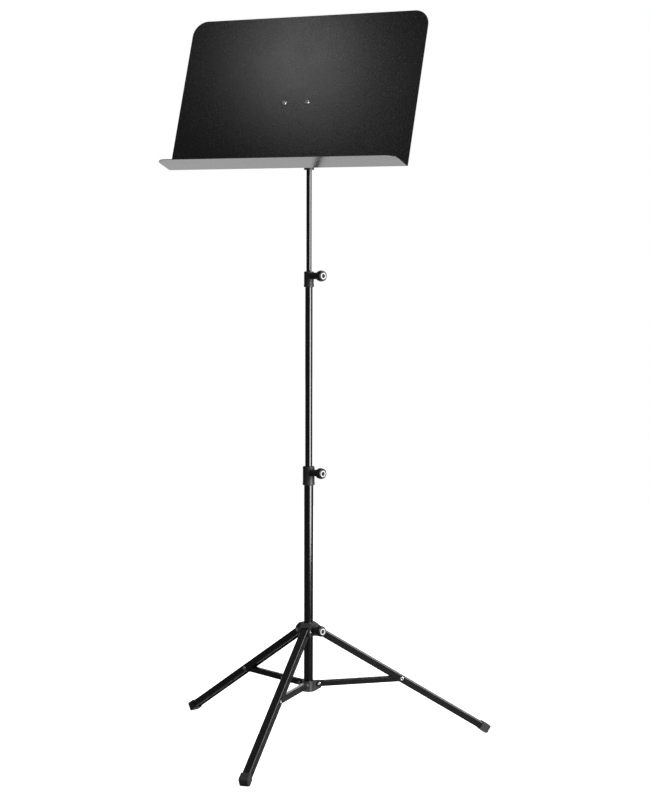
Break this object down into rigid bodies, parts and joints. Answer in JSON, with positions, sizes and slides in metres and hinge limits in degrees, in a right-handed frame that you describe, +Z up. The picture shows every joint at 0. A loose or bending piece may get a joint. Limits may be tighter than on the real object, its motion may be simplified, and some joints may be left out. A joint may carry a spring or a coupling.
{
  "type": "music stand",
  "caption": "Orchestra-type music stand with a solid sheet desk and ledge, telescopic pole with clamp knobs, tilting head and folding tripod base.",
  "frame": {"origin": "on the floor, on the axis of the telescopic pole", "axes": "+Z up along the pole; leg 3 points to -Y, legs 1 and 2 point 120 degrees to either side; the desk faces -Y, turned 9 degrees"},
  "size_m": [0.641, 0.5557, 1.3883],
  "materials": {
    "desk_coat": "fine textured powder coat, satin",
    "tube_coat": "smooth black coat, gloss",
    "leg_coat": "black coat, semi-gloss",
    "black_plastic": "fine moulded grain",
    "knob_plastic": "satin, fluted grip",
    "cap_plastic": "smooth",
    "washer_plastic": "smooth nylon",
    "foot_rubber": "matte, moulded",
    "zinc_steel": "bright zinc plating",
    "rivet_metal": "nickel plated, slightly warm",
    "brass_pad": "plain"
  },
  "bodies": {
    "base": {"base_tube": "tube_coat", "lower_hub": "black_plastic", "lower_hub_pin": "zinc_steel", "strut_inner_rivets": "rivet_metal", "lower_clamp": "black_plastic", "lower_clamp_pad": "brass_pad"},
    "sliding_hub": {"upper_hub": "black_plastic", "leg_rivets": "rivet_metal", "hub_pad": "brass_pad"},
    "hub_knob_set": {"hub_knob": "knob_plastic", "hub_knob_cap": "cap_plastic", "hub_screw": "zinc_steel"},
    "lower_knob_set": {"lower_clamp_knob": "knob_plastic", "lower_clamp_knob_cap": "cap_plastic", "lower_clamp_screw": "zinc_steel"},
    "middle_section": {"middle_tube": "tube_coat", "middle_tube_bush": "black_plastic", "upper_clamp": "black_plastic", "upper_clamp_pad": "brass_pad"},
    "upper_knob_set": {"upper_clamp_knob": "knob_plastic", "upper_clamp_knob_cap": "cap_plastic", "upper_clamp_screw": "zinc_steel"},
    "rod_section": {"top_rod": "tube_coat", "rod_end_bush": "black_plastic"},
    "head_socket": {"desk_socket": "black_plastic", "socket_pad": "brass_pad"},
    "socket_knob_set": {"socket_knob": "knob_plastic", "socket_screw": "zinc_steel"},
    "desk_head": {"desk_sheet": "desk_coat", "desk_screws": "zinc_steel", "desk_nuts": "zinc_steel", "tilt_bracket": "desk_coat", "tilt_washers": "washer_plastic", "tilt_bolt": "zinc_steel"},
    "tilt_knob_set": {"tilt_knob": "knob_plastic", "tilt_knob_cap": "cap_plastic"},
    "strut_arm_1": {"strut_1": "leg_coat"},
    "leg_arm_1": {"leg_1": "leg_coat", "foot_cap_1": "foot_rubber", "strut_outer_rivet_1": "rivet_metal"},
    "strut_arm_2": {"strut_2": "leg_coat"},
    "leg_arm_2": {"leg_2": "leg_coat", "foot_cap_2": "foot_rubber", "strut_outer_rivet_2": "rivet_metal"},
    "strut_arm_3": {"strut_3": "leg_coat"},
    "leg_arm_3": {"leg_3": "leg_coat", "foot_cap_3": "foot_rubber", "strut_outer_rivet_3": "rivet_metal"}
  },
  "joints": [
    {"name": "base_fold", "type": "slide", "parent": "base", "child": "sliding_hub", "axis": [0, 0, 1], "range_m": [0, 0.25265]},
    {"name": "strut_1_hinge", "type": "hinge", "parent": "base", "child": "strut_arm_1", "pos_m": [0.01732, 0.01, 0.112], "axis": [0.5, -0.866, 0], "range_deg": [0, 88.97]},
    {"name": "leg_1_hinge", "type": "hinge", "parent": "strut_arm_1", "child": "leg_arm_1", "pos_m": [0.15931, 0.09198, 0.11497], "axis": [0.5, -0.866, 0], "range_deg": [-147.37, 0]},
    {"name": "strut_2_hinge", "type": "hinge", "parent": "base", "child": "strut_arm_2", "pos_m": [-0.01732, 0.01, 0.112], "axis": [0.5, 0.866, 0], "range_deg": [0, 88.97]},
    {"name": "leg_2_hinge", "type": "hinge", "parent": "strut_arm_2", "child": "leg_arm_2", "pos_m": [-0.15931, 0.09198, 0.11497], "axis": [0.5, 0.866, 0], "range_deg": [-147.37, 0]},
    {"name": "strut_3_hinge", "type": "hinge", "parent": "base", "child": "strut_arm_3", "pos_m": [0, -0.02, 0.112], "axis": [-1, 0, 0], "range_deg": [0, 88.97]},
    {"name": "leg_3_hinge", "type": "hinge", "parent": "strut_arm_3", "child": "leg_arm_3", "pos_m": [0, -0.18396, 0.11497], "axis": [-1, 0, 0], "range_deg": [-147.37, 0]},
    {"name": "hub_knob_turn", "type": "hinge", "parent": "sliding_hub", "child": "hub_knob_set", "pos_m": [0, 0, 0.21883], "axis": [0.866, -0.5, 0], "range_deg": [0, 270]},
    {"name": "lower_knob_turn", "type": "hinge", "parent": "base", "child": "lower_knob_set", "pos_m": [0, 0, 0.5227], "axis": [0.866, -0.5, 0], "range_deg": [0, 270]},
    {"name": "middle_tube_slide", "type": "slide", "parent": "base", "child": "middle_section", "axis": [0, 0, 1], "range_m": [-0.34, 0.025]},
    {"name": "upper_knob_turn", "type": "hinge", "parent": "middle_section", "child": "upper_knob_set", "pos_m": [0, 0, 0.8987], "axis": [0.866, -0.5, 0], "range_deg": [0, 270]},
    {"name": "top_rod_slide", "type": "slide", "parent": "middle_section", "child": "rod_section", "axis": [0, 0, 1], "range_m": [-0.19, 0.09]},
    {"name": "desk_swivel", "type": "hinge", "parent": "rod_section", "child": "head_socket", "pos_m": [0, 0, 1.14], "axis": [0, 0, 1], "continuous": true},
    {"name": "socket_knob_turn", "type": "hinge", "parent": "head_socket", "child": "socket_knob_set", "pos_m": [0, 0, 1.1214], "axis": [0.1564, 0.9877, 0], "range_deg": [0, 270]},
    {"name": "desk_tilt", "type": "hinge", "parent": "head_socket", "child": "desk_head", "pos_m": [0, 0, 1.2039], "axis": [-0.9877, 0.1564, 0], "range_deg": [-18.4, 71.6]},
    {"name": "tilt_knob_turn", "type": "hinge", "parent": "desk_head", "child": "tilt_knob_set", "pos_m": [0, 0, 1.2039], "axis": [0.9877, -0.1564, 0], "range_deg": [0, 270]}
  ],
  "couplings": [
    {"joint": "strut_1_hinge", "follows": "base_fold", "rad_per_m": 6.1457},
    {"joint": "leg_1_hinge", "follows": "base_fold", "rad_per_m": -10.18},
    {"joint": "strut_2_hinge", "follows": "base_fold", "rad_per_m": 6.1457},
    {"joint": "leg_2_hinge", "follows": "base_fold", "rad_per_m": -10.18},
    {"joint": "strut_3_hinge", "follows": "base_fold", "rad_per_m": 6.1457},
    {"joint": "leg_3_hinge", "follows": "base_fold", "rad_per_m": -10.18}
  ]
}
